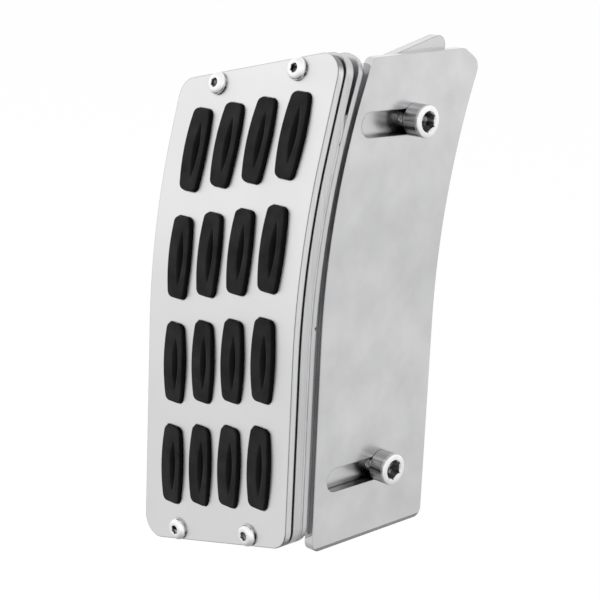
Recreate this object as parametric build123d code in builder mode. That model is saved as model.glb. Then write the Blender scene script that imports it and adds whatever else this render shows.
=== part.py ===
from build123d import *
import os
from math import atan2, cos, hypot, radians, sin, sqrt, tan

# Brake pedal extension: a bent foot tread with rubber lugs, which slides fore and aft
# on a slotted plate that is fixed to the vehicle's own pedal.
# X points to the slotted plate's outer side, Y to the rear, Z up. The origin is on the
# inner side of the slotted plate, at the middle of the strip that the pedal is fixed to,
# level with the line where the tread starts to bend.

# Foot tread, seen square on: upright sides and slanted ends
tread_width = 64.5
tread_above = 84.5            # from the start of the bend up the face to the top end
tread_below = 65.5            # from the start of the bend down to the bottom end
end_slant = 14.0              # degrees that the ends and the rows of lugs rise to +X
corner_radius = 6.5
bend_radius = 246.7           # of the front face
bend_turn = 14.4              # degrees that the top leans back

# Layers behind the front face
tread_gauge = 2.3
mat_gauge = 1.0
mat_inset = 0.3               # the mat's edge stays back from the plates' edge
backing_gauge = 3.0
weld_gap = 1.0                # between the backing plate and the bracket plate
bracket_gauge = 1.7
bracket_turn = 17.5           # the bracket plate leans further back than the tread
edge_break = 0.25             # rounded arris of the polished plates

# Rubber lugs, upright bars in staggered rows
lug_columns = 4
lug_rows = 4
lug_column_pitch = 13.1
lug_shift = 0.6               # of the pattern from the middle of the tread, to +X
lug_top_gap = 11.05           # from the top row's upper ends to the tread's end, up the face
lug_bottom_gap = 12.6         # from the bottom row's lower ends to the tread's end
lug_length = 25.5
lug_width = 9.0
lug_bulge = 1.0               # each side swells by this much at half length
lug_corner = 1.7
lug_proud = 1.5
lug_crown = 0.4               # the top falls by this much from its middle to its ends
lug_edge = 0.5
lug_clearance = 0.15
groove_depth = 0.9
groove_length = 17.0
groove_width = 3.0

# Button head screws through tread and mat into the backing plate
screw_span = 31.8
screw_shift = 0.3
screw_end_gap = 3.65          # from a screw's axis to the slanted end, up the face
screw_diameter = 4.0
screw_length = 6.0
button_diameter = 7.0
button_height = 2.1
button_flat = 3.9
button_rim = 0.4
button_dome = 0.68            # share of the dome's rise that is reached half-way in
screw_socket = 2.5
screw_socket_depth = 1.2
screw_hole_clearance = 0.2
thread_clearance = 0.02

# Slotted plate
plate_gauge = 3.3
plate_width = 50.0
plate_gap = 1.8               # from the bracket plate's rear to the slotted plate
edge_inset = 1.0              # the tread's edge lies this far inside the outer side
plate_bend_start = 4.0
plate_bend_radius = 222.0
plate_bottom = -61.3
plate_top_front = 87.9        # level of the top edge at the front corner
plate_top_rise = 1.8          # degrees
plate_corner = 3.0
cut_along = 9.5               # corner cut, from the rear corner along the top edge
cut_down = 5.2
cut_corner = 4.0
slot_width = 7.7
upper_slot_length = 27.0
lower_slot_length = 28.0
slot_play = 0.4               # from a bolt's axis to the centre of its slot's rear end
slot_drop = 0.45              # from a bolt's axis down to its slot's middle line

# Clamp bolts and nuts
reach = 57.0                  # from the tread's front face back to the origin
upper_bolt_back = 46.1        # from the tread's front face back to the bolt's axis
upper_bolt_level = 68.8
lower_bolt_back = 39.7
lower_bolt_level = -39.2
bolt_diameter = 6.0
bolt_length = 16.0
bolt_head_diameter = 10.0
bolt_head_height = 6.0
bolt_head_edge = 0.6
bolt_socket = 5.0
bolt_socket_depth = 3.2
bolt_hole_clearance = 0.2
nut_across = 10.0
nut_height = 5.0
nut_cone = 30.0               # degrees of the nut's corner chamfer
tip_chamfer = 0.6

# Side flange of the bracket
flange_gauge = 3.3
flange_bottom = -56.5
flange_foot = 48.0            # from the tread's front face back to the flange's low rear corner
flange_head = 62.9            # the same to its high rear corner
flange_top = 94.05
flange_top_rise = 14.4        # degrees
flange_corner = 3.2
flange_foot_corner = 4.0

# Welds
edge_weld_depth = 2.5
edge_weld_top = 56.0
edge_weld_bottom = -50.0
fillet_weld_leg = 3.0
fillet_weld_top = 70.0
fillet_weld_bottom = -52.0

# Places worked out from the sizes above
trim_margin = 5.0
tread_edge_x = plate_gauge - edge_inset
tread_middle_x = tread_edge_x - tread_width / 2
slope = tan(radians(end_slant))
lug_span = tread_above + tread_below - lug_top_gap - lug_bottom_gap - lug_length
lug_row_pitch = lug_span / (lug_rows - 1)
lug_lowest = lug_bottom_gap + lug_length / 2 - tread_below
mat_front = tread_gauge
backing_front = mat_front + mat_gauge
backing_rear = backing_front + backing_gauge
bracket_front = backing_rear + weld_gap
bracket_rear = bracket_front + bracket_gauge
plate_front_y = bracket_rear + plate_gap - reach
flange_inner_x = -flange_gauge


def face_angle(along, turn=bend_turn):
    """Radians that the face leans back at a distance up the face from the bend's start."""
    return min(max(along / bend_radius, 0.0), radians(turn))


def face_point(along, depth=0.0, turn=bend_turn):
    """Y and Z of a point up the face by a distance and behind it by a depth."""
    angle = face_angle(along, turn)
    straight = along - angle * bend_radius
    radius = bend_radius - depth
    y = bend_radius - radius * cos(angle) + straight * sin(angle) - reach
    z = radius * sin(angle) + straight * cos(angle)
    return (y, z)


def face_plane(x, along, turn=bend_turn):
    """Plane on the front face, with its own Y up the face and its Z to the front."""
    angle = face_angle(along, turn)
    y, z = face_point(along, 0.0, turn)
    return Plane(origin=(x, y, z), x_dir=(1, 0, 0), z_dir=(0, -cos(angle), sin(angle)))


def side_band(low, high, front, rear, turn=bend_turn):
    """Side view of a bent layer between two depths: straight, arc and straight."""
    arc_end = min(high, radians(turn) * bend_radius)
    with BuildSketch() as band:
        with BuildLine():
            for depth in (front, rear):
                Line(face_point(low, depth, turn), face_point(0.0, depth, turn))
                ThreePointArc(face_point(0.0, depth, turn),
                              face_point(arc_end / 2, depth, turn),
                              face_point(arc_end, depth, turn))
                if high > arc_end:
                    Line(face_point(arc_end, depth, turn), face_point(high, depth, turn))
            Line(face_point(low, front, turn), face_point(low, rear, turn))
            Line(face_point(high, front, turn), face_point(high, rear, turn))
        make_face()
    return band.sketch


def end_outline(end, far, inset):
    """Front view of one slanted end with round corners, open-ended towards far."""
    half = tread_width / 2 - inset
    rise = slope * half
    with BuildSketch() as outline:
        with BuildLine():
            Polyline((-half, far), (half, far), (half, end + rise), (-half, end - rise), close=True)
        make_face()
        corners = outline.vertices().sort_by(Axis.Y)
        fillet(corners[-2:] if end > far else corners[:2], corner_radius - inset)
    return outline.sketch


def bent_sheet(front, rear, inset=0.0, turn=bend_turn):
    """A layer of the tread between two depths, from a blank as long as the tread plate's."""
    bend_end = radians(turn) * bend_radius
    straight_end = tread_above - radians(turn) * (bend_radius - front) - inset
    far = tread_above + tread_below
    with BuildPart() as sheet:
        with BuildSketch(Plane.YZ.offset(tread_middle_x - tread_width / 2)):
            add(side_band(band_low, band_high, front, rear, turn))
        extrude(amount=tread_width)
        with BuildSketch(face_plane(tread_middle_x, bend_end, turn)):
            add(end_outline(straight_end, -far, inset))
        extrude(amount=far, both=True, mode=Mode.INTERSECT)
        with BuildSketch(face_plane(tread_middle_x, 0.0, turn)):
            add(end_outline(inset - tread_below, far, inset))
        extrude(amount=far, both=True, mode=Mode.INTERSECT)
    return sheet.part


def face_depth(point):
    """Depth of a point behind the tread's front face."""
    centre_y = bend_radius - reach
    if point.Z <= 0:
        return point.Y + reach
    angle = atan2(point.Z, centre_y - point.Y)
    if angle <= radians(bend_turn):
        return bend_radius - hypot(centre_y - point.Y, point.Z)
    lean = radians(bend_turn)
    return bend_radius - (centre_y - point.Y) * cos(lean) - point.Z * sin(lean)


def lug_plan(clearance=0.0):
    """Plan of a lug: square ends, swelling sides and round corners."""
    end = lug_length / 2 + clearance
    side = lug_width / 2 + clearance
    waist = side - lug_bulge
    with BuildSketch() as plan:
        with BuildLine():
            ThreePointArc((waist, -end), (side, 0), (waist, end))
            Line((waist, end), (-waist, end))
            ThreePointArc((-waist, end), (-side, 0), (-waist, -end))
            Line((-waist, -end), (waist, -end))
        make_face()
        fillet(plan.vertices(), lug_corner + clearance)
    return plan.sketch


def plate_edge(level, shift=0.0):
    """Y and Z of the slotted plate's bent edge at a level."""
    rise = max(level - plate_bend_start, 0.0)
    lean = plate_bend_radius - sqrt(plate_bend_radius ** 2 - rise ** 2)
    return (plate_front_y + shift + lean, level)


def plate_band():
    """Side view of the slotted plate: two equal edges, straight and then bent."""
    top_rise = plate_width * tan(radians(plate_top_rise))
    with BuildSketch() as band:
        with BuildLine():
            for shift, top in ((0.0, plate_top_front), (plate_width, plate_top_front + top_rise)):
                middle = (plate_bend_start + top) / 2
                Line(plate_edge(plate_bottom, shift), plate_edge(plate_bend_start, shift))
                ThreePointArc(plate_edge(plate_bend_start, shift), plate_edge(middle, shift),
                              plate_edge(top, shift))
            Line(plate_edge(plate_bottom), plate_edge(plate_bottom, plate_width))
            Line(plate_edge(plate_top_front), plate_edge(plate_top_front + top_rise, plate_width))
        make_face()
    return band.sketch


def cap_bolt(seat):
    """Socket cap bolt whose head stands on a plane and whose shank runs behind it."""
    along = Axis(seat.origin, seat.z_dir)
    with BuildPart() as bolt:
        with BuildSketch(seat):
            Circle(bolt_head_diameter / 2)
        extrude(amount=bolt_head_height)
        chamfer(bolt.faces().sort_by(along)[-1].edges(), bolt_head_edge)
        with BuildSketch(seat.offset(bolt_head_height)):
            RegularPolygon(bolt_socket / 2, 6, major_radius=False)
        extrude(amount=-bolt_socket_depth, mode=Mode.SUBTRACT)
        with BuildSketch(seat):
            Circle(bolt_diameter / 2)
        extrude(amount=-bolt_length)
        chamfer(bolt.faces().sort_by(along)[0].edges(), tip_chamfer)
    return bolt.part


def hex_nut(seat):
    """Hexagon nut that stands on a plane, with coned corners and a plain bore."""
    corner = nut_across / 2 / cos(radians(30))
    drop = (corner - nut_across / 2) * tan(radians(nut_cone))
    section = Plane(origin=seat.origin, x_dir=seat.x_dir, z_dir=-seat.y_dir)
    with BuildPart() as nut:
        with BuildSketch(seat):
            RegularPolygon(nut_across / 2, 6, major_radius=False)
        extrude(amount=nut_height)
        with BuildSketch(section):
            with BuildLine():
                Polyline((0, 0), (corner, 0), (corner, nut_height - drop),
                         (nut_across / 2, nut_height), (0, nut_height), close=True)
            make_face()
        revolve(axis=Axis(seat.origin, seat.z_dir), mode=Mode.INTERSECT)
        with BuildSketch(seat):
            Circle(bolt_diameter / 2 + thread_clearance)
        extrude(amount=nut_height, mode=Mode.SUBTRACT)
    return nut.part


def button_screw(seat):
    """Button head screw whose domed head stands on a plane."""
    section = Plane(origin=seat.origin, x_dir=seat.x_dir, z_dir=-seat.y_dir)
    radius = screw_diameter / 2
    head = button_diameter / 2
    flat = button_flat / 2
    swell = (button_height - button_rim) * button_dome + button_rim
    with BuildPart() as screw:
        with BuildSketch(section):
            with BuildLine():
                Polyline((0, button_height), (0, -screw_length), (radius - tip_chamfer, -screw_length),
                         (radius, tip_chamfer - screw_length), (radius, 0), (head, 0),
                         (head, button_rim))
                ThreePointArc((head, button_rim), ((head + flat) / 2, swell), (flat, button_height))
                Line((flat, button_height), (0, button_height))
            make_face()
        revolve(axis=Axis(seat.origin, seat.z_dir))
        with BuildSketch(seat.offset(button_height)):
            RegularPolygon(screw_socket / 2, 6, major_radius=False)
        extrude(amount=-screw_socket_depth, mode=Mode.SUBTRACT)
    return screw.part


band_low = -(tread_below + slope * tread_width / 2 + trim_margin)
band_high = tread_above + slope * tread_width / 2 + trim_margin

lug_seats = []
for row in range(lug_rows):
    for column in range(lug_columns):
        lug_x = lug_shift + (column - (lug_columns - 1) / 2) * lug_column_pitch
        lug_along = lug_lowest + row * lug_row_pitch + slope * lug_x
        lug_seats.append(face_plane(tread_middle_x + lug_x, lug_along))

screw_seats = {}
for side_name, side_sign in (("left", -1), ("right", 1)):
    screw_x = screw_shift + side_sign * screw_span / 2
    top_along = tread_above - screw_end_gap + slope * screw_x
    bottom_along = screw_end_gap - tread_below + slope * screw_x
    screw_seats["upper_" + side_name] = face_plane(tread_middle_x + screw_x, top_along)
    screw_seats["lower_" + side_name] = face_plane(tread_middle_x + screw_x, bottom_along)

os.makedirs("parts", exist_ok=True)

# Tread plate: polished sheet, blanked, pierced for the lugs and rolled
with BuildPart() as tread_plate:
    add(bent_sheet(0.0, tread_gauge))
    front_edges = tread_plate.edges().filter_by(lambda edge: face_depth(edge @ 0.5) < edge_break)
    fillet(front_edges - front_edges.filter_by(Axis.X), edge_break)
    with BuildSketch(*lug_seats):
        add(lug_plan(lug_clearance))
    extrude(amount=2 * tread_gauge, both=True, mode=Mode.SUBTRACT)
    with BuildSketch(*screw_seats.values()):
        Circle(screw_diameter / 2 + screw_hole_clearance)
    extrude(amount=2 * tread_gauge, both=True, mode=Mode.SUBTRACT)
tread_plate.part.label = "tread_plate"
export_step(tread_plate.part, "parts/tread_plate.step")

# One rubber lug, standing on the plane of the tread's front face
with BuildPart() as lug:
    root = tread_gauge + mat_gauge / 2
    with BuildSketch(Plane.XY.offset(-root)):
        add(lug_plan())
    extrude(amount=root + lug_proud)
    end = lug_length / 2
    end_height = lug_proud - lug_crown
    with BuildSketch(Plane.YZ):
        with BuildLine():
            Polyline((end, end_height), (end, -root), (-end, -root), (-end, end_height))
            ThreePointArc((-end, end_height), (0, lug_proud), (end, end_height))
        make_face()
    extrude(amount=lug_width, both=True, mode=Mode.INTERSECT)
    fillet(lug.faces().sort_by(Axis.Z)[-1].edges(), lug_edge)
    groove_radius = groove_length ** 2 / (8 * groove_depth) + groove_depth / 2
    groove_floor = lug_proud - groove_depth
    cutter_height = 2 * groove_width
    cutter_half = cutter_height * groove_width / 2 / groove_depth
    with BuildSketch(Plane.XZ):
        Polygon((0, groove_floor), (cutter_half, groove_floor + cutter_height),
                (-cutter_half, groove_floor + cutter_height), align=None)
    revolve(axis=Axis((0, 0, groove_floor + groove_radius), (1, 0, 0)), mode=Mode.SUBTRACT)

# Rubber mat: a thin moulded sheet with the lugs on it, held between tread and backing
with BuildPart() as rubber_mat:
    add(bent_sheet(mat_front, backing_front, mat_inset))
    with Locations(*[seat.location for seat in lug_seats]):
        add(lug.part)
    with BuildSketch(*screw_seats.values()):
        Circle(screw_diameter / 2 + screw_hole_clearance)
    extrude(amount=-2 * backing_front, mode=Mode.SUBTRACT)
rubber_mat.part.label = "rubber_mat"
export_step(rubber_mat.part, "parts/rubber_mat.step")

# Backing plate, tapped for the four screws
with BuildPart() as backing_plate:
    add(bent_sheet(backing_front, backing_rear))
    with BuildSketch(*screw_seats.values()):
        Circle(screw_diameter / 2 + thread_clearance)
    extrude(amount=-2 * backing_rear, mode=Mode.SUBTRACT)
backing_plate.part.label = "backing_plate"
export_step(backing_plate.part, "parts/backing_plate.step")

# Button head screws through the tread plate and the mat
for place_name, seat in screw_seats.items():
    with BuildPart() as tread_screw:
        add(button_screw(seat))
    tread_screw.part.label = "tread_screw_" + place_name
    export_step(tread_screw.part, "parts/tread_screw_" + place_name + ".step")

# Bracket plate: same blank as the tread, bent a little further at the top
with BuildPart() as bracket_plate:
    add(bent_sheet(bracket_front, bracket_rear, turn=bracket_turn))
bracket_plate.part.label = "bracket_plate"
export_step(bracket_plate.part, "parts/bracket_plate.step")

# Seam welds along both edges, between the backing plate and the bracket plate
weld_starts = {"right": tread_edge_x - edge_weld_depth, "left": tread_edge_x - tread_width}
for side_name, start_x in weld_starts.items():
    with BuildPart() as seam:
        with BuildSketch(Plane.YZ.offset(start_x)):
            add(side_band(edge_weld_bottom, edge_weld_top, backing_rear, bracket_front))
        extrude(amount=edge_weld_depth)
    seam.part.label = "edge_weld_" + side_name
    export_step(seam.part, "parts/edge_weld_" + side_name + ".step")

# Side flange: stands square on the rear of the bracket plate and carries the clamp bolts
bolt_places = {
    "upper": (upper_bolt_back - reach, upper_bolt_level, upper_slot_length),
    "lower": (lower_bolt_back - reach, lower_bolt_level, lower_slot_length),
}
with BuildPart() as side_flange:
    with BuildSketch(Plane.YZ.offset(flange_inner_x)) as flange_outline:
        with BuildLine():
            flange_front_top = flange_top - flange_head * tan(radians(flange_top_rise))
            Polyline((-reach, flange_bottom), (flange_foot - reach, flange_bottom),
                     (flange_head - reach, flange_top), (-reach, flange_front_top), close=True)
        make_face()
        fillet(flange_outline.vertices().sort_by(Axis.Y)[-1], flange_corner)
        fillet(flange_outline.vertices().group_by(Axis.Y)[0].sort_by(Axis.X)[-1],
               flange_foot_corner)
        add(side_band(band_low, band_high, -reach, bracket_rear, bracket_turn),
            mode=Mode.SUBTRACT)
    extrude(amount=flange_gauge)
    for bolt_y, bolt_z, slot_length in bolt_places.values():
        with BuildSketch(Plane(origin=(0, bolt_y, bolt_z), x_dir=(0, 1, 0), z_dir=(1, 0, 0))):
            Circle(bolt_diameter / 2 + bolt_hole_clearance)
        extrude(amount=-flange_gauge, mode=Mode.SUBTRACT)
side_flange.part.label = "side_flange"
export_step(side_flange.part, "parts/side_flange.step")

# Fillet weld in the corner between the side flange and the bracket plate
with BuildPart() as flange_weld:
    with BuildLine(Plane.YZ.offset(flange_inner_x)) as corner_line:
        Line(face_point(fillet_weld_bottom, bracket_rear), face_point(0.0, bracket_rear))
        ThreePointArc(face_point(0.0, bracket_rear, bracket_turn),
                      face_point(fillet_weld_top / 2, bracket_rear, bracket_turn),
                      face_point(fillet_weld_top, bracket_rear, bracket_turn))
    weld_y, weld_z = face_point(fillet_weld_bottom, bracket_rear)
    with BuildSketch(Plane(origin=(flange_inner_x, weld_y, weld_z), x_dir=(-1, 0, 0),
                           z_dir=(0, 0, 1))):
        Polygon((0, 0), (fillet_weld_leg, 0), (0, -fillet_weld_leg), align=None)
    sweep(path=corner_line.wire())
flange_weld.part.label = "flange_weld"
export_step(flange_weld.part, "parts/flange_weld.step")

# Slotted plate: the piece that is fixed to the vehicle's pedal
with BuildPart() as slotted_plate:
    with BuildSketch(Plane.YZ) as plate_outline:
        add(plate_band())
        top_edge = plate_outline.edges().sort_by(Axis.Y)[-1]
        chamfer(plate_outline.vertices().sort_by(Axis.Y)[-1], cut_along, cut_down,
                reference=top_edge)
        cut_ends = [plate_outline.vertices().sort_by(axis)[-1] for axis in (Axis.X, Axis.Y)]
        fillet(cut_ends, cut_corner)
        low_corners = plate_outline.vertices().group_by(Axis.Y)[0]
        front_top = plate_outline.vertices().sort_by_distance(plate_edge(plate_top_front))[0]
        fillet([*low_corners, front_top], plate_corner)
        for bolt_y, bolt_z, slot_length in bolt_places.values():
            slot_rear = bolt_y + slot_play + slot_width / 2
            with Locations((slot_rear - slot_length / 2, bolt_z - slot_drop)):
                SlotOverall(slot_length, slot_width, mode=Mode.SUBTRACT)
    extrude(amount=plate_gauge)
    outer_face = slotted_plate.faces().sort_by(Axis.X)[-1]
    fillet(outer_face.outer_wire().edges(), edge_break)
slotted_plate.part.label = "slotted_plate"
export_step(slotted_plate.part, "parts/slotted_plate.step")

# Clamp bolts through slot and flange, each with its nut on the flange's inner side
for place_name, (bolt_y, bolt_z, slot_length) in bolt_places.items():
    head_seat = Plane(origin=(plate_gauge, bolt_y, bolt_z), x_dir=(0, 1, 0), z_dir=(1, 0, 0))
    nut_seat = Plane(origin=(flange_inner_x, bolt_y, bolt_z), x_dir=(0, 1, 0), z_dir=(-1, 0, 0))
    with BuildPart() as clamp_bolt:
        add(cap_bolt(head_seat))
    clamp_bolt.part.label = "clamp_bolt_" + place_name
    export_step(clamp_bolt.part, "parts/clamp_bolt_" + place_name + ".step")
    with BuildPart() as clamp_nut:
        add(hex_nut(nut_seat))
    clamp_nut.part.label = "clamp_nut_" + place_name
    export_step(clamp_nut.part, "parts/clamp_nut_" + place_name + ".step")
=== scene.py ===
import bpy
import numpy as np
from mathutils import Matrix, Vector


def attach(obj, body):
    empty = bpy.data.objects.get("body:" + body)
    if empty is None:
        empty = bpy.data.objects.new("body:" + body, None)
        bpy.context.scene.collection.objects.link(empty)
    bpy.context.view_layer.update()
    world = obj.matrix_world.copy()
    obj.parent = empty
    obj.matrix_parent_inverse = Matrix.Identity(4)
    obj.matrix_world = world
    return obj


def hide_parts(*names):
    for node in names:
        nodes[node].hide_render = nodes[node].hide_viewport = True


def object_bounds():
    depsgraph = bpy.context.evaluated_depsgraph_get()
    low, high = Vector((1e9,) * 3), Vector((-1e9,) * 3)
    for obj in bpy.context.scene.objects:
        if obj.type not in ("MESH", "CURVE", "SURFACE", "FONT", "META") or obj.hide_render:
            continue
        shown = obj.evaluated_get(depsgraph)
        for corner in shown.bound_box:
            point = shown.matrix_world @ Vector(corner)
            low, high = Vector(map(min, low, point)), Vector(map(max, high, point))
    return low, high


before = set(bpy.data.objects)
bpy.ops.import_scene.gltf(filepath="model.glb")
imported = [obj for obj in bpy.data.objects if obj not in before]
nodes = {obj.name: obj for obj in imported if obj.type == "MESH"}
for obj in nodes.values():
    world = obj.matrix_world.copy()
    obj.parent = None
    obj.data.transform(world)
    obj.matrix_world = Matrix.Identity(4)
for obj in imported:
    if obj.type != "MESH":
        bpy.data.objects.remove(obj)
cad_low, cad_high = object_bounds()
mm = 0.001

# Tread plate: one sheet of steel, pierced for the lugs, rolled to a gentle bend and polished.
# The piece itself is the imported solid, and its finish has fine upright grain, faint clouds
# and rounded arrises painted darker, as thin grey lines of painted shade.
tread_tone = 0.8
tread_roughness = 0.4
tread_clouds = 22.0
edge_streaks = 0.35
upright_grain = (2600.0, 2600.0, 55.0)
arris_radius = 0.45 * mm
streak_tone_share = 0.5
cloud_rougher = 0.04
cloud_smoother = 0.03
cool_tint = 1.01


def add_node(tree, kind, inputs=None, **settings):
    """A node of one kind, with settings, and inputs that are values or sockets to join."""
    made = tree.nodes.new(kind)
    for key, value in settings.items():
        setattr(made, key, value)
    for key, value in (inputs or {}).items():
        if isinstance(value, bpy.types.NodeSocket):
            tree.links.new(value, made.inputs[key])
        else:
            made.inputs[key].default_value = value
    return made


def calculate(tree, operation, *values, clamped=False):
    """The result of a Math node on values or sockets, held between 0 and 1 where clamped."""
    return add_node(tree, "ShaderNodeMath", dict(enumerate(values)), operation=operation,
                    use_clamp=clamped).outputs[0]


def noise(tree, place, scale, detail=2.0):
    """Smooth noise over a place, with lumps about as long as one over the scale."""
    inputs = {"Vector": place, "Scale": scale, "Detail": detail}
    return add_node(tree, "ShaderNodeTexNoise", inputs).outputs[0]


def grain_noise(tree, place, grain):
    """Noise drawn out into lines: the place is first scaled by the grain, axis by axis."""
    scaled = add_node(tree, "ShaderNodeMapping", {"Vector": place, "Scale": grain}).outputs[0]
    return noise(tree, scaled, scale=1.0)


def remap(tree, value, low, high, from_low=0.3, from_high=0.7):
    """The value's stretch from from_low to from_high, laid over low to high and held there."""
    inputs = {"Value": value, "From Min": from_low, "From Max": from_high,
              "To Min": low, "To Max": high}
    return add_node(tree, "ShaderNodeMapRange", inputs).outputs["Result"]


def grey_mix(tree, factor, first, second):
    """Colour between two greys, or sockets: first at factor 0 and second at factor 1. A Mix node
    takes its colours at inputs 6 and 7, and gives the mixed one at output 2."""
    first, second = (grey if isinstance(grey, bpy.types.NodeSocket)
                     else (grey, grey, grey * cool_tint, 1.0) for grey in (first, second))
    inputs = {0: factor, 6: first, 7: second}
    return add_node(tree, "ShaderNodeMix", inputs, data_type="RGBA").outputs[2]


def new_finish(name):
    """A new material, with its node tree and its shader."""
    material = bpy.data.materials.new(name)
    material.use_nodes = True
    tree = material.node_tree
    return material, tree, tree.nodes["Principled BSDF"]


def steel_finish(name, tone, roughness, cloud_scale, grain=upright_grain, cloud_depth=0.05,
                 grain_bump=0.05, edge_shade_share=0.5, edge_streak=0.0):
    """Polished steel: slow noise drifts tone and roughness, and stretched noise makes the grain,
    which can streak the cut edges. Where the rounded normal leaves the face's own, or a face
    turns from front to side, its tone is painted down to a share: painted shade at the arrises."""
    material, tree, shader = new_finish(name)
    shader.inputs["Metallic"].default_value = 1.0
    place = add_node(tree, "ShaderNodeTexCoord").outputs["Object"]
    lines = grain_noise(tree, place, grain)
    clouds = noise(tree, place, scale=cloud_scale, detail=4.0)
    rounded = add_node(tree, "ShaderNodeBevel", {"Radius": arris_radius}, samples=4).outputs[0]
    flat = add_node(tree, "ShaderNodeNewGeometry").outputs["Normal"]
    facing = add_node(tree, "ShaderNodeVectorMath", {0: rounded, 1: flat},
                      operation="DOT_PRODUCT").outputs["Value"]
    sharp = remap(tree, facing, 0.0, 1.0, from_low=0.998, from_high=0.93)
    across = add_node(tree, "ShaderNodeSeparateXYZ", {0: flat}).outputs["X"]
    sideways = calculate(tree, "ABSOLUTE", across)
    leaving_front = remap(tree, sideways, 0.0, 1.0, from_low=0.1, from_high=0.35)
    short_of_side = remap(tree, sideways, 1.0, 0.0, from_low=0.85, from_high=0.98)
    turning = calculate(tree, "MULTIPLY", leaving_front, short_of_side)
    # Painted shade: arrises and faces turning to the side are painted darker.
    painted_edge_shade = calculate(tree, "MAXIMUM", sharp, turning)
    clouded = grey_mix(tree, remap(tree, clouds, 0.0, 1.0), tone * (1 - cloud_depth), tone)
    cut_edge = remap(tree, sideways, 0.0, 1.0, from_low=0.98, from_high=0.995)
    streak = calculate(tree, "MULTIPLY", cut_edge, remap(tree, lines, edge_streak, 0.0))
    streaked = grey_mix(tree, streak, clouded, tone * streak_tone_share)
    colour = grey_mix(tree, painted_edge_shade, streaked, tone * edge_shade_share)
    tree.links.new(colour, shader.inputs["Base Color"])
    rough_here = remap(tree, clouds, roughness + cloud_rougher, roughness - cloud_smoother)
    tree.links.new(rough_here, shader.inputs["Roughness"])
    bump = add_node(tree, "ShaderNodeBump", {"Strength": grain_bump, "Distance": 0.03 * mm,
                                             "Height": lines, "Normal": rounded}).outputs[0]
    tree.links.new(bump, shader.inputs["Normal"])
    return material


def dress(node_name, material):
    """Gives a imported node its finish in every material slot."""
    for material_slot in nodes[node_name].material_slots:
        material_slot.material = material


dress("tread_plate", steel_finish("tread_polish", tread_tone, tread_roughness, tread_clouds,
                                  edge_shade_share=0.3, edge_streak=edge_streaks))

# Rubber mat: one moulding of black rubber, a thin sheet behind the tread plate with sixteen
# lugs that stand through it. Each lug swells at its waist, falls off to its ends, has soft
# edges and carries one shallow groove, a little to the right of its middle.
bend_radius = 246.7 * mm
bend_turn = np.radians(14.4)
reach = 57.0 * mm
tread_middle = -29.95 * mm
tread_width = 64.5 * mm
tread_above = 84.5 * mm
tread_below = 65.5 * mm
slope = np.tan(np.radians(14.0))
sheet_front = 2.32 * mm
sheet_rear = 3.28 * mm
sheet_inset = 0.3 * mm
sheet_corner = 6.2 * mm
sheet_corner_steps = 12
sheet_points = 480
sheet_rings = 24
lug_count = 4
lug_column_pitch = 13.1 * mm
lug_shift = 0.6 * mm
lug_top_gap = 11.05 * mm
lug_bottom_gap = 12.6 * mm
lug_end = 12.75 * mm
lug_side = 4.5 * mm
lug_bulge = 1.0 * mm
lug_corner = 1.7 * mm
lug_least_corner = 0.5 * mm
lug_root = 2.8 * mm
lug_proud = 1.5 * mm
lug_crown = 0.4 * mm
lug_edge = 0.5 * mm
lug_side_points = 41
lug_end_points = 6
lug_around = 2 * (lug_side_points + lug_end_points)
lug_edge_rings = 7
lug_top_rings = 33
lug_middle_share = 0.01
lug_lowest = lug_bottom_gap + lug_end - tread_below
lug_highest = tread_above - lug_top_gap - lug_end
groove_half_length = 9.4 * mm
groove_floor_x = 1.1 * mm
groove_steep = 1.4 * mm
groove_gentle = 1.6 * mm
groove_depth = 1.2 * mm
groove_rounding = 1.15
top_margin = 0.01 * mm
rubber_tone = 0.027
darker_patch = 0.75
paler_patch = 1.35
rubber_roughness = (0.62, 0.5)
rubber_shade_black = 0.001
wall_shade = 0.9
groove_shade = 0.85


def face_point(x, along, depth, whole_turn=bend_turn):
    """Points at a depth behind the tread's bent face, for sizes that broadcast together. Up to
    the bend the face is straight, then it turns by the distance along it over the bend's radius,
    and past the whole turn it is straight again."""
    angle = np.clip(along / bend_radius, 0.0, whole_turn)
    straight = along - angle * bend_radius
    radius = bend_radius - depth
    y = bend_radius - radius * np.cos(angle) + straight * np.sin(angle) - reach
    z = radius * np.sin(angle) + straight * np.cos(angle)
    return np.stack(np.broadcast_arrays(x, y, z), axis=-1)


def face_seat(x, along):
    """A place on the face: its point, and three axes across, up the face and to the front."""
    angle = np.clip(along / bend_radius, 0.0, bend_turn)
    across = (1.0, 0.0, 0.0)
    up = (0.0, np.sin(angle), np.cos(angle))
    front = (0.0, -np.cos(angle), np.sin(angle))
    return face_point(x, along, 0.0), np.array([across, up, front])


def shell(rings, joined=False):
    """A closed surface through rings of equally many points: quads join each ring to the next.
    The last ring joins the first, or else each end ring is closed by a fan to its middle.
    Where the volume under the faces sums to less than nothing, the faces are turned over."""
    count, around = rings.shape[:2]
    points = rings.reshape(-1, 3)
    here = np.arange(count * around).reshape(count, around)
    aside = np.roll(here, -1, axis=1)
    last = count if joined else count - 1
    quads = np.stack([here, aside, np.roll(aside, -1, axis=0), np.roll(here, -1, axis=0)], axis=-1)
    quads = quads[:last].reshape(-1, 4)
    fans = np.zeros((0, 3), int)
    if not joined:
        points = np.vstack([points, rings[0].mean(axis=0), rings[-1].mean(axis=0)])
        low = np.stack([aside[0], here[0], np.full(around, count * around)], axis=-1)
        high = np.stack([here[-1], aside[-1], np.full(around, count * around + 1)], axis=-1)
        fans = np.vstack([low, high])
    corners = np.vstack([quads[:, [0, 1, 2]], quads[:, [0, 2, 3]], fans])
    a, b, c = (points[corners[:, i]] for i in range(3))
    if np.einsum("ij,ij->", a, np.cross(b, c)) < 0:
        quads, fans = quads[:, ::-1], fans[:, ::-1]
    return points, quads, fans


def put(name, data):
    """A new object of a mesh, lamp or camera, linked to the scene."""
    made = bpy.data.objects.new(name, data)
    bpy.context.scene.collection.objects.link(made)
    return made


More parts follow.
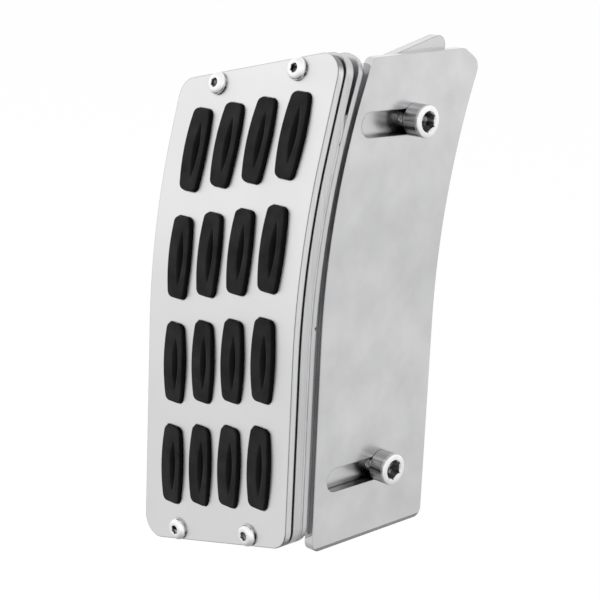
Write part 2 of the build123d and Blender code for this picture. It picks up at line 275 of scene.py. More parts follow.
def add_piece(name, shells, material, body, replaced, sharp=35.0, painted_shade=None):
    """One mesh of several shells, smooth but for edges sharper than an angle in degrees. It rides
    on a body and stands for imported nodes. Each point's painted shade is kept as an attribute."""
    points, faces, start = [], [], 0
    for shell_points, quads, fans in shells:
        points.append(shell_points)
        faces += (quads + start).tolist() + (fans + start).tolist()
        start += len(shell_points)
    mesh = bpy.data.meshes.new(name)
    mesh.from_pydata(np.vstack(points).tolist(), [], faces)
    if painted_shade is not None:
        mesh.attributes.new("painted_shade", "FLOAT", "POINT").data.foreach_set("value", painted_shade)
    mesh.polygons.foreach_set("use_smooth", np.ones(len(mesh.polygons), bool))
    mesh.set_sharp_from_angle(angle=np.radians(sharp))
    mesh.materials.append(material)
    piece = put(name, mesh)
    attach(piece, body)
    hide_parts(*replaced)


def rounded_outline(corners, radius, count, steps):
    """Outline of a convex polygon with round corners, as equally spaced points. Each corner's arc
    is centred on its bisector, at the radius over the sine of half its angle."""
    before = np.roll(corners, 1, axis=0) - corners
    after = np.roll(corners, -1, axis=0) - corners
    before /= np.linalg.norm(before, axis=1, keepdims=True)
    after /= np.linalg.norm(after, axis=1, keepdims=True)
    half = np.arccos((before * after).sum(axis=1, keepdims=True)) / 2
    bisector = (before + after) / np.linalg.norm(before + after, axis=1, keepdims=True)
    middle = corners + bisector * radius / np.sin(half)
    first = corners + before * radius / np.tan(half) - middle
    turn = np.arctan2(first[:, 1:], first[:, :1]) + (np.pi - 2 * half) * np.linspace(0, 1, steps)
    arcs = middle[:, None] + radius * np.stack([np.cos(turn), np.sin(turn)], axis=-1)
    loop = arcs.reshape(-1, 2)
    loop = np.vstack([loop, loop[:1]])
    travel = np.concatenate([[0], np.cumsum(np.linalg.norm(np.diff(loop, axis=0), axis=1))])
    stops = np.linspace(0, travel[-1], count, endpoint=False)
    return np.stack([np.interp(stops, travel, loop[:, i]) for i in range(2)], axis=-1)


def mat_sheet():
    """The sheet: its outline shrunk to its middle in even steps, on the front and on the rear."""
    half = tread_width / 2 - sheet_inset
    rise = slope * half
    top, bottom = tread_above - sheet_inset, sheet_inset - tread_below
    corners = np.array([(-half, bottom - rise), (half, bottom + rise),
                        (half, top + rise), (-half, top - rise)])
    outline = rounded_outline(corners, sheet_corner, sheet_points, sheet_corner_steps)
    middle = corners.mean(axis=0)
    shares = np.linspace(1 / sheet_rings, 1, sheet_rings)
    grown = middle + shares[:, None, None] * (outline - middle)
    front = face_point(tread_middle + grown[..., 0], grown[..., 1], sheet_front)
    rear = face_point(tread_middle + grown[..., 0], grown[..., 1], sheet_rear)
    return shell(np.concatenate([front, rear[::-1]]))


def lug_outline(inset):
    """Plan of a lug: sides that swell as a parabola, straight ends and round corners. Along each
    side the height is a sine of an even angle, and the corner takes a circle's height off."""
    end, side = lug_end - inset, lug_side - inset
    corner = max(lug_corner - inset, lug_least_corner)
    swing = np.linspace(-np.pi / 2, np.pi / 2, lug_side_points)
    height = end * np.sin(swing)
    over = np.clip(np.abs(height) - (end - corner), 0.0, corner)
    width = side - lug_bulge * (height / end) ** 2 - corner + np.sqrt(corner ** 2 - over ** 2)
    across = np.linspace(width[-1], -width[-1], lug_end_points + 2)[1:-1]
    ends = np.stack([across, np.full(lug_end_points, end)], axis=-1)
    right = np.stack([width, height], axis=-1)
    return np.vstack([right, ends, right[::-1] * (-1, 1), ends[::-1] * (1, -1)])


def lug_rings():
    """A lug in its own place: a wall, a quarter-round edge, and a top that falls as a parabola
    to its ends. Its groove is a V, a little steeper on one side, that fades as a parabola along
    the lug. Gives the rings, and for each point of their shell how much painted shade it takes:
    fully on the wall, less round the edge, and in the groove by its depth."""
    wall = [(0.0, -lug_root), (0.0, 0.0), (0.0, lug_proud - lug_edge)]
    turn = np.linspace(0, np.pi / 2, lug_edge_rings + 1)[1:]
    edge = np.stack([lug_edge * (1 - np.cos(turn)), lug_proud - lug_edge * (1 - np.sin(turn))], -1)
    rings = [np.column_stack([lug_outline(inset), np.full(lug_around, height)])
             for inset, height in wall + edge.tolist()]
    shares = np.linspace(1, lug_middle_share, lug_top_rings + 1)[1:, None, None]
    flat = shares * lug_outline(lug_edge)
    top = np.concatenate([flat, np.full((lug_top_rings, lug_around, 1), lug_proud)], axis=-1)
    rings = np.concatenate([np.array(rings), top])
    x, y = rings[..., 0], rings[..., 1]
    drop = lug_crown * (y / lug_end) ** 2 * (rings[..., 2] > 0)
    run = np.clip(1 - (y / groove_half_length) ** 2, 0.0, 1.0)
    side = np.where(x < groove_floor_x, groove_steep, groove_gentle)
    notch = np.clip(run - np.abs(x - groove_floor_x) / side, 0.0, 1.0)
    on_top = rings[..., 2] > lug_proud - top_margin
    sunk = groove_depth * notch ** groove_rounding * on_top
    rings[..., 2] -= drop + sunk
    edge_shares = np.linspace(1, 0, lug_edge_rings + 1)[1:] ** 2
    walled = np.concatenate([np.ones(len(wall)), edge_shares, np.zeros(len(top))])[:, None]
    shade = wall_shade * walled + groove_shade * sunk / groove_depth
    return rings, np.append(shade.ravel(), [wall_shade, shade[-1].mean()])


def rubber_finish():
    """Moulded rubber: a matt black, a little greyer in patches, with a fine pebbled skin. The
    mesh's painted shade value takes it to full black: painted shade on the lugs' walls and grooves."""
    material, tree, shader = new_finish("moulded_rubber")
    place = add_node(tree, "ShaderNodeTexCoord").outputs["Object"]
    patches = noise(tree, place, scale=160.0, detail=3.0)
    skin = noise(tree, place, scale=3200.0)
    colour = grey_mix(tree, remap(tree, patches, 0.0, 1.0), rubber_tone * darker_patch,
                      rubber_tone * paler_patch)
    # Painted shade: the lugs' walls and grooves are painted towards black.
    shade = add_node(tree, "ShaderNodeAttribute", attribute_name="painted_shade").outputs["Fac"]
    tree.links.new(grey_mix(tree, shade, colour, rubber_shade_black), shader.inputs["Base Color"])
    tree.links.new(remap(tree, patches, *rubber_roughness), shader.inputs["Roughness"])
    shader.inputs["Specular IOR Level"].default_value = 0.06
    bump = add_node(tree, "ShaderNodeBump", {"Strength": 0.25, "Distance": 0.05 * mm,
                                             "Height": skin}).outputs[0]
    tree.links.new(bump, shader.inputs["Normal"])
    return material


lug_shape, lug_painted_shade = lug_rings()
mat_shells = [mat_sheet()]
mat_painted_shade = [np.zeros(len(mat_shells[0][0]))]
for row in range(lug_count):
    lug_along = lug_lowest + row * (lug_highest - lug_lowest) / (lug_count - 1)
    for column in range(lug_count):
        lug_x = lug_shift + (column - (lug_count - 1) / 2) * lug_column_pitch
        lug_point, lug_axes = face_seat(tread_middle + lug_x, lug_along + slope * lug_x)
        mat_shells.append(shell(lug_point + lug_shape @ lug_axes))
        mat_painted_shade.append(lug_painted_shade)
add_piece("lugged_mat", mat_shells, rubber_finish(), "tread", ["rubber_mat"], sharp=50.0,
          painted_shade=np.concatenate(mat_painted_shade))

# Tread screws: four bright plated button head screws through the tread plate and the mat into
# the backing plate, each turned and rolled with a low dome, a hexagon socket and a thread.
points_around = 96
angles = np.linspace(0, 2 * np.pi, points_around, endpoint=False)
screw_shift = 0.3 * mm
screw_span = 31.8 * mm
screw_end_gap = 3.65 * mm
screw_radius = 2.0 * mm
screw_length = 6.0 * mm
screw_pitch = 0.7 * mm
button_radius = 3.5 * mm
button_height = 2.1 * mm
button_flat = 1.95 * mm
button_rim = 0.4 * mm
button_edge = 0.06 * mm
button_rings = 12
button_socket = 2.5 * mm
button_socket_depth = 1.2 * mm
button_shade = 0.9
button_shade_turn = 0.25
tip_pitches = 0.8
neck_pitches = 0.3
rings_per_pitch = 8
thread_flat_share = 0.25
thread_depth_share = 0.58
thread_shade = 0.4
socket_bevel_share = 0.07
socket_break_share = 1.3
socket_lip_share = 0.2
socket_cone_share = 0.12
socket_tip_share = 0.15
socket_shade = (0.0, 0.4, 0.65, 0.85, 0.95)
plating_tones = (0.82, 0.92)
plating_roughness = (0.1, 0.18)
painted_shade_tone = 0.02
painted_shade_roughness = 0.3
painted_shade_streaks = (0.35, 1.5)
streak_grain = (60.0, 750.0, 750.0)
upward_shade_share = 0.5


def bright_finish():
    """Bright plating: a clear mirror with tiny polishing pits. Where the mesh's painted shade value
    rises, as in sockets, threads, knurls and rims, the plating is painted dark and rougher: painted
    shade in recesses and dark painted reflections on the sides, in streaks along the clamp bolts'
    axis. Faces that look up take less of it, so their tops are painted lighter."""
    material, tree, shader = new_finish("bright_plate")
    shader.inputs["Metallic"].default_value = 1.0
    place = add_node(tree, "ShaderNodeTexCoord").outputs["Object"]
    drift = noise(tree, place, scale=420.0, detail=3.0)
    pits = noise(tree, place, scale=2400.0)
    streaks = grain_noise(tree, place, streak_grain)
    painted_shade = add_node(tree, "ShaderNodeAttribute", attribute_name="painted_shade").outputs["Fac"]
    normal = add_node(tree, "ShaderNodeNewGeometry").outputs["Normal"]
    upward = add_node(tree, "ShaderNodeSeparateXYZ", {0: normal}).outputs["Z"]
    # Painted light: faces that look up take less of the painted shade, so tops read lighter.
    shade_by_facing = remap(tree, upward, 1.0, upward_shade_share, from_low=0.1, from_high=0.9)
    shade_amount = calculate(tree, "MULTIPLY", painted_shade, shade_by_facing)
    streaked = calculate(tree, "MULTIPLY", shade_amount, remap(tree, streaks, *painted_shade_streaks), clamped=True)
    bright = grey_mix(tree, remap(tree, drift, 0.0, 1.0), *plating_tones)
    tree.links.new(grey_mix(tree, streaked, bright, painted_shade_tone), shader.inputs["Base Color"])
    gloss = remap(tree, drift, *plating_roughness)
    rough_here = calculate(tree, "MULTIPLY_ADD", painted_shade, painted_shade_roughness, gloss)
    tree.links.new(rough_here, shader.inputs["Roughness"])
    bump = add_node(tree, "ShaderNodeBump", {"Strength": 0.06, "Distance": 0.02 * mm,
                                             "Height": pits}).outputs[0]
    tree.links.new(bump, shader.inputs["Normal"])
    return material


def hexagon(across):
    """Radius of a hexagon in each direction: half its width over the cosine of the angle from
    the middle of the nearest side."""
    sixth = np.pi / 3
    return across / 2 / np.cos((angles + sixth / 2) % sixth - sixth / 2)


def turned(seat, heights, radii):
    """Rings of a turned piece on a seat: ring i stands at heights[i] along the seat's last axis,
    and its point j lies radii[i, j] from that axis."""
    point, axes = seat
    radii = np.broadcast_to(radii, (len(heights), points_around))
    level = np.broadcast_to(np.asarray(heights)[:, None], radii.shape)
    flat = np.stack([radii * np.cos(angles), radii * np.sin(angles), level], axis=-1)
    return point + flat @ axes


def thread(low, high, radius, pitch):
    """Rings of a screw thread from one height to another. The radius falls from the crest by a
    triangle wave, cut flat at both ends, of height over pitch less the angle's share of a turn."""
    heights = np.linspace(low, high, int((high - low) / pitch * rings_per_pitch))
    phase = heights[:, None] / pitch - angles / (2 * np.pi)
    flank = (1 + 2 * thread_flat_share) * np.abs(2 * (phase % 1) - 1)
    wave = np.clip(flank - thread_flat_share, 0, 1)
    return heights, radius - thread_depth_share * pitch * (1 - wave)


def socket_rings(top, across, depth):
    """Rings of a hexagon socket: a small round chamfer, straight walls and a shallow cone. The
    bevel, cone and tip are shares of its width, the lip and break shares of the bevel. Each set
    of rings is heights, radii and painted shade values, and here the walls are painted dark as
    shade in the recess."""
    bevel = socket_bevel_share * across
    heights = [top, top - bevel, top - socket_break_share * bevel, top - depth,
               top - depth - socket_cone_share * across]
    corner = across / 2 / np.cos(np.pi / 6)
    mouth = np.full(points_around, corner + socket_lip_share * bevel)
    wall = hexagon(across)
    radii = [mouth, np.maximum(wall, mouth - bevel), wall, wall, socket_tip_share * wall]
    return np.array(heights), np.array(radii), np.array(socket_shade)


def threaded_screw(seat, radius, length, pitch, head, socket):
    """A screw's rings from its tip to the floor of its socket: a tapered tip, the thread, the
    head's own rings and the socket. Gives its shell, and its points' painted shade values."""
    plain = np.ones((1, points_around))
    tip = [-length, -length + tip_pitches * pitch]
    shank_heights, shank_radii = thread(-length + pitch, -neck_pitches * pitch, radius, pitch)
    heights = np.concatenate([tip, shank_heights, [0.0], head[0], socket[0]])
    radii = np.vstack([(radius - pitch) * plain, (radius - 0.5 * pitch) * plain, shank_radii,
                       radius * plain, head[1], socket[1]])
    shank_shade = np.full(len(heights) - len(head[0]) - len(socket[0]), thread_shade)
    painted_shade = np.concatenate([shank_shade, head[2], socket[2]])
    painted_shade = np.concatenate([np.repeat(painted_shade, points_around), painted_shade[[0, -1]]])
    return shell(turned(seat, heights, radii)), painted_shade


def button_head():
    """Rings of a button head: a small chamfer, a straight side and a quarter ellipse up to the
    flat round the socket. The painted shade is high on the side, a painted dark crescent, and
    fades as the dome turns in."""
    dome = np.linspace(0, np.pi / 2, button_rings)
    dome_heights = button_rim + (button_height - button_rim) * np.sin(dome)
    dome_radii = button_flat + (button_radius - button_flat) * np.cos(dome)
    heights = np.concatenate([[0.0, button_edge], dome_heights])
    radii = np.concatenate([[button_radius - button_edge, button_radius], dome_radii])
    fade = np.clip(1 - dome / button_shade_turn, 0, 1)
    painted_shade = button_shade * np.concatenate([[1.0, 1.0], fade])
    return heights, np.tile(radii[:, None], points_around), painted_shade


bright_plate = bright_finish()
for side_name, side_sign in (("left", -1), ("right", 1)):
    screw_x = screw_shift + side_sign * screw_span / 2
    ends = {"upper": tread_above - screw_end_gap, "lower": screw_end_gap - tread_below}
    for end_name, end_along in ends.items():
        screw_seat = face_seat(tread_middle + screw_x, end_along + slope * screw_x)
        screw_socket = socket_rings(button_height, button_socket, button_socket_depth)
        screw, painted_shade = threaded_screw(screw_seat, screw_radius, screw_length, screw_pitch,
                                     button_head(), screw_socket)
        place_name = end_name + "_" + side_name
        add_piece("button_screw_" + place_name, [screw], bright_plate, "tread",
                  ["tread_screw_" + place_name], painted_shade=painted_shade)

# Backing plate and bracket plate: two more bent plates of the same steel, sheared, ground at
# their edges and welded together. The bracket plate's right edge has a small nick at its rear,
# shown only as a painted shade spot.
plate_tone = 0.68
plate_roughness = 0.3
plate_clouds = 30.0
bracket_rear = 9.0 * mm
nick_along = 10.0 * mm
nick_size = 0.8 * mm
nick_shade_tone = 0.03
spot_fade = 1.5
tread_edge = tread_middle + tread_width / 2


def plate_polish(name):
    """The rear plates' polish: steel with deeper clouds, light painted shade at the arrises and
    streaked edges.
    """
    return steel_finish(name, plate_tone, plate_roughness, plate_clouds, cloud_depth=0.1,
                        edge_shade_share=0.8, edge_streak=edge_streaks)


def add_spot(material, point, size, grey):
    """A ragged spot on a finish: noise is added to the distance from a point, and where the sum
    is within a size, the colour goes over to a grey."""
    tree = material.node_tree
    shader = tree.nodes["Principled BSDF"]
    place = add_node(tree, "ShaderNodeTexCoord").outputs["Object"]
    away = add_node(tree, "ShaderNodeVectorMath", {0: place, 1: point},
                    operation="DISTANCE").outputs["Value"]
    ragged = noise(tree, place, scale=1800.0)
    moved = calculate(tree, "MULTIPLY_ADD", ragged, size, away)
    inside = remap(tree, moved, 1.0, 0.0, from_low=size, from_high=size * spot_fade)
    colour = shader.inputs["Base Color"].links[0].from_socket
    tree.links.new(grey_mix(tree, inside, colour, grey), shader.inputs["Base Color"])


backing_polish = plate_polish("backing_polish")
bracket_polish = plate_polish("bracket_polish")
# Painted shade: the nick is not modelled, only painted as a dark spot.
nick_place = tuple(face_point(tread_edge, nick_along, bracket_rear))
add_spot(bracket_polish, nick_place, nick_size, nick_shade_tone)
dress("backing_plate", backing_polish)
dress("bracket_plate", bracket_polish)

# Edge welds: weld metal run into the gap between the two rear plates along both edges, and
# dressed nearly flush. The seams sink away at their upper ends, and each has a small pit there.
# A drop of spatter sits lower down on the right edge.
weld_low = -56.0 * mm
weld_high = 75.0 * mm
weld_deep = 2.5 * mm
weld_front = 6.3 * mm
weld_rear = 7.3 * mm
weld_points = 28
weld_rings = 300
seam_squareness = 0.3
seam_sunk = 0.07 * mm
ripple_height = 0.02 * mm
ripple_waves = (1.9 * mm, 0.83 * mm, 4.7 * mm)
corner_start = -52.4 * mm
corner_radius = 6.5 * mm
sink_start = 69.0 * mm
sink_deep = 0.9 * mm
pit_along = 66.1 * mm
pit_across = 0.7
pit_reach = 0.5 * mm
pit_size = 0.4 * mm
pit_deep = 0.4 * mm
spatter_along = -32.3 * mm
spatter_depth = 3.8 * mm
spatter_radius = 0.36 * mm
spatter_sunk = 0.1 * mm
spatter_rings = 9
spatter_points = 16
spatter_pole = 0.05
bracket_turn = np.radians(17.5)
weld_roughness = 0.34
weld_clouds = 90.0
seam_tone = 0.67
seam_grain = 900.0


def weld_finish(name, tone, grain):
    """Weld metal: steel a little duller than the plates, with an even, rougher grain, mottled by
    noise in tone and gloss."""
    return steel_finish(name, tone, weld_roughness, weld_clouds, grain=(grain,) * 3,
                        cloud_depth=0.16, grain_bump=0.2, edge_shade_share=1.0)


def edge_seam(outer_x, inward):
    """A seam along one edge. Each ring is a squared-off oval that reaches from the rear of one
    plate to the front of the next. Its outer side follows the plates' round corner a little
    below their edge, and rises and falls by three slow sine waves, less a pit, which is the
    exponential of less its squared distance, and the upper end's sinking, a parabola."""
    along = np.linspace(weld_low, weld_high, weld_rings)[:, None]
    round_way = np.linspace(0, 2 * np.pi, weld_points, endpoint=False)
    outward, across = (np.sign(wave) * np.abs(wave) ** seam_squareness
                       for wave in (np.cos(round_way), np.sin(round_way)))
    waves = sum(np.sin(along / wave + phase) for phase, wave in enumerate(ripple_waves))
    ripple = ripple_height * waves - seam_sunk
    from_pit = (along - pit_along) ** 2 + (pit_reach * (across - pit_across)) ** 2
    pit = pit_deep * np.exp(-from_pit / pit_size ** 2)
    sink = sink_deep * np.clip((along - sink_start) / (weld_high - sink_start), 0, 1) ** 2
    over = np.clip(corner_start - along, 0.0, corner_radius)
    recess = corner_radius - np.sqrt(corner_radius ** 2 - over ** 2)
    surface = np.clip(outward, 0, 1) * (ripple - pit - sink)
    x = outer_x + inward * (recess + weld_deep / 2 * (1 - outward) - surface)
    front = face_point(x, along, weld_front)
    rear = face_point(x, along, weld_rear, bracket_turn)
    share = (1 + across[:, None]) / 2
    return shell(front + share * (rear - front))


def spatter(outer_x):
    """A drop of spatter on the edge: a sphere's rings, from its inner pole to its outer one."""
    turn = np.linspace(spatter_pole, np.pi - spatter_pole, spatter_rings)[:, None]
    around = np.linspace(0, 2 * np.pi, spatter_points, endpoint=False)
    ring = np.sin(turn)
    x = outer_x - spatter_radius * np.cos(turn)
    along = spatter_along + spatter_radius * ring * np.cos(around)
    return shell(face_point(x, along, spatter_depth + spatter_radius * ring * np.sin(around)))


seam_metal = weld_finish("seam_metal", seam_tone, seam_grain)
seams = {"right": [edge_seam(tread_edge, -1), spatter(tread_edge - spatter_sunk)],
         "left": [edge_seam(tread_edge - tread_width, 1)]}
for side_name, seam_shells in seams.items():
    add_piece("seam_" + side_name, seam_shells, seam_metal, "tread",
              ["edge_weld_" + side_name], sharp=60.0)

# Side flange: an upright plate that stands square on the rear of the bracket plate and lies
# flat against the slotted plate. It is cut from the same steel and polished with the rest.
flange_tone = 0.66
flange_roughness = 0.24
flange_clouds = 26.0
dress("side_flange", steel_finish("flange_polish", flange_tone, flange_roughness, flange_clouds,
                                  cloud_depth=0.08))

# Flange weld: a run of weld metal in the corner between the flange's inner side and the
# bracket plate, left as welded, with the ripples that the torch makes as it moves.
bead_low = -52.0 * mm
bead_high = 70.0 * mm
bead_leg = 3.0 * mm
bead_pitch = 1.3 * mm
bead_bow = 0.9
bead_fill = 0.8
bead_swell = 0.1
bead_fade = 1.5 * mm
bead_end_share = 0.25
bead_points = 15
bead_rings = 560
bead_tone = 0.55
bead_grain = 500.0
flange_inner = -3.3 * mm


def corner_bead():
    """The bead: a quarter disc carried up the corner. Its outer arc swells by a saw-like wave of
    the distance up the corner, bowed back at its sides as ripples are, and tapers to its ends by
    the root of the distance from them."""
    along = np.linspace(bead_low, bead_high, bead_rings)[:, None]
    turn = np.linspace(0, np.pi / 2, bead_points)
    lag = bead_pitch * bead_bow * np.cos(2 * (turn - np.pi / 4))
    wave = ((along + lag) / bead_pitch) % 1
    swell = bead_fill + bead_swell * np.sqrt(wave) * np.sin(2 * turn)
    from_end = np.minimum(along - bead_low, bead_high - along)
    taper = np.sqrt(np.clip(from_end / bead_fade, bead_end_share, 1))
    reach_out = bead_leg * swell * taper
    inward, backward = reach_out * np.cos(turn), reach_out * np.sin(turn)
    root = np.zeros((bead_rings, 1))
    inward = np.hstack([inward, root])
    backward = np.hstack([backward, root])
    return shell(face_point(flange_inner - inward, along, bracket_rear + backward, bracket_turn))


bead_metal = weld_finish("bead_metal", bead_tone, bead_grain)
add_piece("flange_bead", [corner_bead()], bead_metal, "tread", ["flange_weld"],
          sharp=60.0)

# Slotted plate: the plate that is fixed to the vehicle's pedal. It is thick steel with two
# slots, polished to a soft mirror that shows faint clouds from handling.
slotted_tone = 0.69
slotted_roughness = 0.24
slotted_clouds = 70.0
slot_wall_reach = 4.3 * mm
slot_levels = (68.35 * mm, -39.65 * mm)
slot_wall_shade_tone = 0.3
slot_root_shadow_tone = 0.01
slot_root = 0.6 * mm
slot_root_start = 0.36 * mm
dim_level = 32.0 * mm
dim_core = 14.4 * mm
dim_reach = 36.0 * mm
dim_share = 0.07
front_edge_smoother = -0.16
bevel_top = -60.1 * mm
bevel_blend = 0.15 * mm
bevel_lean = -0.9


def slotted_finish():
    """The plate's polish, with four changes. Faces that look up or down near a slot's level are
    its cut walls, painted dark as shade and painted darkest at their root, a painted shadow of
    the gap. In a band above its middle it is a little dimmer. The front edge is polished
    brighter. Below one level the normal leans down, as on a ground bevel."""
    material = steel_finish("slotted_polish", slotted_tone, slotted_roughness, slotted_clouds,
                            cloud_depth=0.13, edge_shade_share=0.8)
    tree = material.node_tree
    shader = tree.nodes["Principled BSDF"]
    place = add_node(tree, "ShaderNodeTexCoord").outputs["Object"]
    outward, _, height = add_node(tree, "ShaderNodeSeparateXYZ", {0: place}).outputs
    normal = add_node(tree, "ShaderNodeNewGeometry").outputs["Normal"]
    _, rearward, upward = add_node(tree, "ShaderNodeSeparateXYZ", {0: normal}).outputs
    level = calculate(tree, "ABSOLUTE", upward)
    near = 0.0
    for slot_level in slot_levels:
        here = calculate(tree, "COMPARE", height, slot_level, slot_wall_reach)
        near = calculate(tree, "MAXIMUM", near, here)
    faces_level = remap(tree, level, 0.0, 1.0, from_low=0.5, from_high=0.8)
    wall = calculate(tree, "MULTIPLY", near, faces_level)
    # Painted shade on the slot walls, and a painted shadow of the gap at their root.
    past_root = remap(tree, outward, 0.0, 1.0, from_low=slot_root_start, from_high=slot_root)
    painted_wall_shade = grey_mix(tree, past_root, slot_root_shadow_tone, slot_wall_shade_tone)
    polished = shader.inputs["Base Color"].links[0].from_socket
    walled = grey_mix(tree, wall, polished, painted_wall_shade)
    from_middle = calculate(tree, "SUBTRACT", height, dim_level)
    from_middle = calculate(tree, "ABSOLUTE", from_middle)
    dim = remap(tree, from_middle, dim_share, 0.0, from_low=dim_core, from_high=dim_reach)
    tree.links.new(grey_mix(tree, dim, walled, 0.0), shader.inputs["Base Color"])
    front_edge = remap(tree, rearward, 1.0, 0.0, from_low=-0.9, from_high=-0.6)
    rough = shader.inputs["Roughness"].links[0].from_socket
    glossy = calculate(tree, "MULTIPLY_ADD", front_edge, front_edge_smoother, rough)
    tree.links.new(glossy, shader.inputs["Roughness"])
    lean = remap(tree, height, bevel_lean, 0.0, from_low=bevel_top - bevel_blend,
                 from_high=bevel_top)
    tilt = add_node(tree, "ShaderNodeCombineXYZ", {"Z": lean}).outputs[0]
    grained = shader.inputs["Normal"].links[0].from_socket
    leaned = add_node(tree, "ShaderNodeVectorMath", {0: grained, 1: tilt}).outputs[0]
    unit = add_node(tree, "ShaderNodeVectorMath", {0: leaned}, operation="NORMALIZE").outputs[0]
    tree.links.new(unit, shader.inputs["Normal"])
    return material


dress("slotted_plate", slotted_finish())

# Clamp bolts: two socket cap bolts, bright plated, with finely knurled heads and chamfered
# rims. They pass through the slots and the flange, and hold the tread where it is set.
plate_gauge = 3.3 * mm
bolt_radius = 3.0 * mm
bolt_length = 16.0 * mm
bolt_pitch = 1.0 * mm
head_radius = 5.0 * mm
head_height = 6.0 * mm
head_foot = 0.25 * mm
head_chamfer = 0.6 * mm
chamfer_turn_down = 0.21 * mm
chamfer_turn_in = 0.18 * mm
knurl_low = 0.6 * mm
knurl_top_gap = 1.5 * mm
rim_top_gap = 1.2 * mm
knurl_depth = 0.09 * mm
knurl_count = 32
knurl_shade = 0.8
foot_shade = 0.7
rim_shade = 0.5
chamfer_shade = 0.4
bolt_socket = 5.5 * mm
bolt_socket_depth = 3.2 * mm
bolt_places = {"upper": (-10.9 * mm, 68.8 * mm), "lower": (-17.3 * mm, -39.2 * mm)}


def head_rings():
    """Rings of a cap head: a small chamfer, knurled sides, a plain rim and a top chamfer in two
    slopes. The knurl takes a triangle wave of the angle off the radius."""
    flute = np.abs(2 * ((angles * knurl_count / (2 * np.pi)) % 1) - 1)
    plain = np.ones(points_around)
    knurled = head_radius - knurl_depth * flute
    heights = [0.0, head_foot, knurl_low, head_height - knurl_top_gap, head_height - rim_top_gap,
               head_height - head_chamfer, head_height - chamfer_turn_down, head_height]
    radii = [(head_radius - head_foot) * plain, head_radius * plain, knurled, knurled,
             head_radius * plain, head_radius * plain, (head_radius - chamfer_turn_in) * plain,
             (head_radius - head_chamfer) * plain]
    # Painted shade and dark painted reflections on the foot, knurl, rim and lower chamfer.
    painted_shade = [foot_shade, foot_shade, knurl_shade, knurl_shade, rim_shade, chamfer_shade, 0.0, 0.0]
    return np.array(heights), np.array(radii), np.array(painted_shade)


for place_name, (bolt_y, bolt_z) in bolt_places.items():
    bolt_seat = np.array([plate_gauge, bolt_y, bolt_z]), np.array([(0, 1, 0), (0, 0, 1), (1, 0, 0)])
    bolt, painted_shade = threaded_screw(bolt_seat, bolt_radius, bolt_length, bolt_pitch, head_rings(),
                                socket_rings(head_height, bolt_socket, bolt_socket_depth))
    add_piece("cap_bolt_" + place_name, [bolt], bright_plate, "tread",
              ["clamp_bolt_" + place_name], sharp=28.0, painted_shade=painted_shade)

# Clamp nuts: bright plated hexagon nuts on the flange's inner side, coned at both faces, with
# the bolt's thread cut through them.
nut_across = 10.0 * mm
nut_height = 5.0 * mm
nut_cone = np.tan(np.radians(30))
nut_cone_rings = 5
nut_thread_inset = 0.2 * mm
nut_mouth = 0.25 * mm
nut_play = 0.03 * mm


def nut_rings():
    """Rings round a nut's wall, joined end to end: its outer side is a hexagon held inside a cone
    at each face, and its bore is a thread a little wider than the bolt's."""
    drop = nut_cone * (nut_across / 2 / np.cos(np.pi / 6) - nut_across / 2)
    rise = np.linspace(0, drop, nut_cone_rings)
    heights = np.concatenate([rise, nut_height - rise[::-1]])
    from_face = np.minimum(heights, nut_height - heights)
    cone = nut_across / 2 + from_face / nut_cone
    outer = np.minimum(hexagon(nut_across), cone[:, None])
    bore_heights, bore_radii = thread(nut_thread_inset, nut_height - nut_thread_inset,
                                      bolt_radius, bolt_pitch)
    mouth = np.full((1, points_around), bolt_radius + nut_mouth)
    return (np.concatenate([heights, [nut_height], bore_heights[::-1], [0.0]]),
            np.vstack([outer, mouth, bore_radii[::-1] + nut_play, mouth]))


for place_name, (bolt_y, bolt_z) in bolt_places.items():
    nut_seat = np.array([flange_inner, bolt_y, bolt_z]), np.array([(0, 1, 0), (0, 0, -1), (-1, 0, 0)])
    add_piece("hex_nut_" + place_name, [shell(turned(nut_seat, *nut_rings()), joined=True)],
              bright_plate, "tread", ["clamp_nut_" + place_name], sharp=28.0)

# Studio: a pale floor under the held part, a white surround that is dimmer low down where
# metal mirrors it, and two soft lamps.
floor_drop = 60.0 * mm
floor_half = 6.0
floor_tone = 0.9
floor_glow = 1.018
floor_glow_share = 0.97
plain_light = 0.2
mirrored_below = 0.4
mirrored_above = 1.0
mirrored_between = {0.31: 0.86, 0.46: 1.04, 0.62: 1.15}


def surround():
    """White for the camera. For mirrored rays a grey that grows with the ray's height and eases
    off overhead, and for the rest a plain level of light."""
    world = bpy.data.worlds.new("surround")
    world.use_nodes = True
    bpy.context.scene.world = world
    tree = world.node_tree
    output = tree.nodes["World Output"]
    plain = tree.nodes["Background"]
    plain.inputs["Strength"].default_value = plain_light
    rays = add_node(tree, "ShaderNodeLightPath")
    direction = add_node(tree, "ShaderNodeTexCoord").outputs["Generated"]
    height = add_node(tree, "ShaderNodeSeparateXYZ", {0: direction}).outputs["Z"]
    raised = remap(tree, height, 0.0, 1.0, from_low=-1.0, from_high=1.0)
    ramp = add_node(tree, "ShaderNodeValToRGB", {"Fac": raised})
    ramp.color_ramp.elements[0].color = (mirrored_below,) * 3 + (1,)
    ramp.color_ramp.elements[1].color = (mirrored_above,) * 3 + (1,)
    for stop, grey in mirrored_between.items():
        ramp.color_ramp.elements.new(stop).color = (grey,) * 3 + (1,)
    mirrored = add_node(tree, "ShaderNodeBackground", {"Color": ramp.outputs[0]}).outputs[0]
    white = add_node(tree, "ShaderNodeBackground", {"Color": (1, 1, 1, 1)}).outputs[0]
    shown = add_node(tree, "ShaderNodeMixShader",
                     {0: rays.outputs["Is Glossy Ray"], 1: plain.outputs[0], 2: mirrored})
    seen = calculate(tree, "MAXIMUM", rays.outputs["Is Camera Ray"],
                     rays.outputs["Is Transmission Ray"])
    last = add_node(tree, "ShaderNodeMixShader", {0: seen, 1: shown.outputs[0], 2: white})
    tree.links.new(last.outputs[0], output.inputs["Surface"])


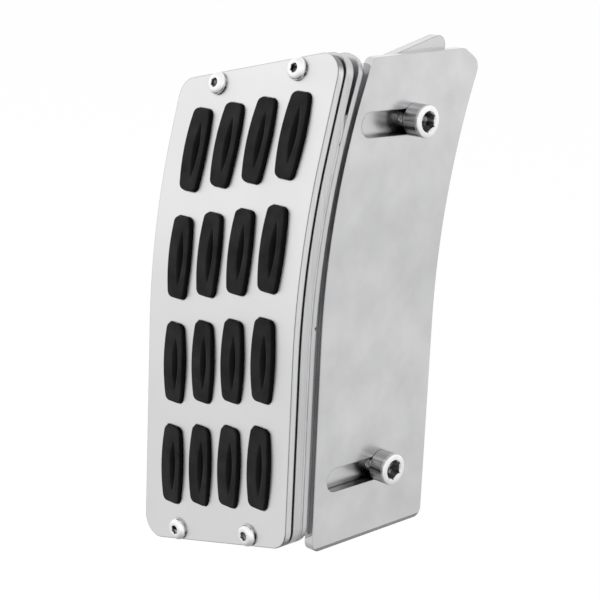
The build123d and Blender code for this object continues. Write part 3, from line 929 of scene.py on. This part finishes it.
def floor_finish():
    """Pale floor: mostly plain white to the camera, and a matt white that takes shadows."""
    material, tree, shader = new_finish("pale_floor")
    shader.inputs["Base Color"].default_value = (floor_tone,) * 3 + (1,)
    shader.inputs["Roughness"].default_value = 0.9
    glow = add_node(tree, "ShaderNodeEmission",
                    {"Color": (1, 1, 1, 1), "Strength": floor_glow}).outputs[0]
    seen = add_node(tree, "ShaderNodeLightPath").outputs["Is Camera Ray"]
    share = calculate(tree, "MULTIPLY", seen, floor_glow_share)
    mixed = add_node(tree, "ShaderNodeMixShader", {0: share, 1: shader.outputs[0], 2: glow})
    tree.links.new(mixed.outputs[0], tree.nodes["Material Output"].inputs["Surface"])
    return material


def soft_lamp(name, place, size, power):
    """A square lamp of one size that faces the part's origin, and that metal doesn't show."""
    light = bpy.data.lights.new(name, "AREA")
    light.size = size
    light.energy = power
    lamp = put(name, light)
    lamp.location = place
    lamp.rotation_euler = (-Vector(place)).to_track_quat("-Z", "Y").to_euler()
    lamp.visible_glossy = False


floor_z = cad_low.z - floor_drop
floor_corners = [(x * floor_half, y * floor_half, floor_z)
                 for x, y in ((-1, -1), (1, -1), (1, 1), (-1, 1))]
floor_mesh = bpy.data.meshes.new("floor")
floor_mesh.from_pydata(floor_corners, [], [(0, 1, 2, 3)])
floor_mesh.materials.append(floor_finish())
floor = put("floor", floor_mesh)
floor.visible_glossy = False
surround()
soft_lamp("key_lamp", place=(-1.0, -0.8, 0.6), size=0.8, power=14.0)
soft_lamp("top_lamp", place=(0.3, 0.2, 1.2), size=0.9, power=4.0)

# Camera: at the photograph's viewing angle, solved from its edges, rows of lugs, screws and bolt
# heads. The lens is given in pixels of the photograph's width.
camera_place = Vector((0.32191, -0.38139, 0.13504))
camera_azimuth = np.radians(44.409)
camera_dip = np.radians(14.209)
camera_roll = np.radians(-2.473)
lens_pixels = 1634.82
image_pixels = 600
camera_data = bpy.data.cameras.new("camera")
camera_data.sensor_width = 36.0
camera_data.lens = lens_pixels / image_pixels * camera_data.sensor_width
camera = put("camera", camera_data)
forward = Vector((-np.sin(camera_azimuth) * np.cos(camera_dip),
                  np.cos(camera_azimuth) * np.cos(camera_dip), -np.sin(camera_dip)))
unrolled = forward.to_track_quat("-Z", "Y")
camera.rotation_mode = "QUATERNION"
camera.rotation_quaternion = Matrix.Rotation(camera_roll, 3, forward).to_quaternion() @ unrolled
camera.location = camera_place
bpy.context.scene.camera = camera
bpy.context.scene.view_settings.view_transform = "Standard"
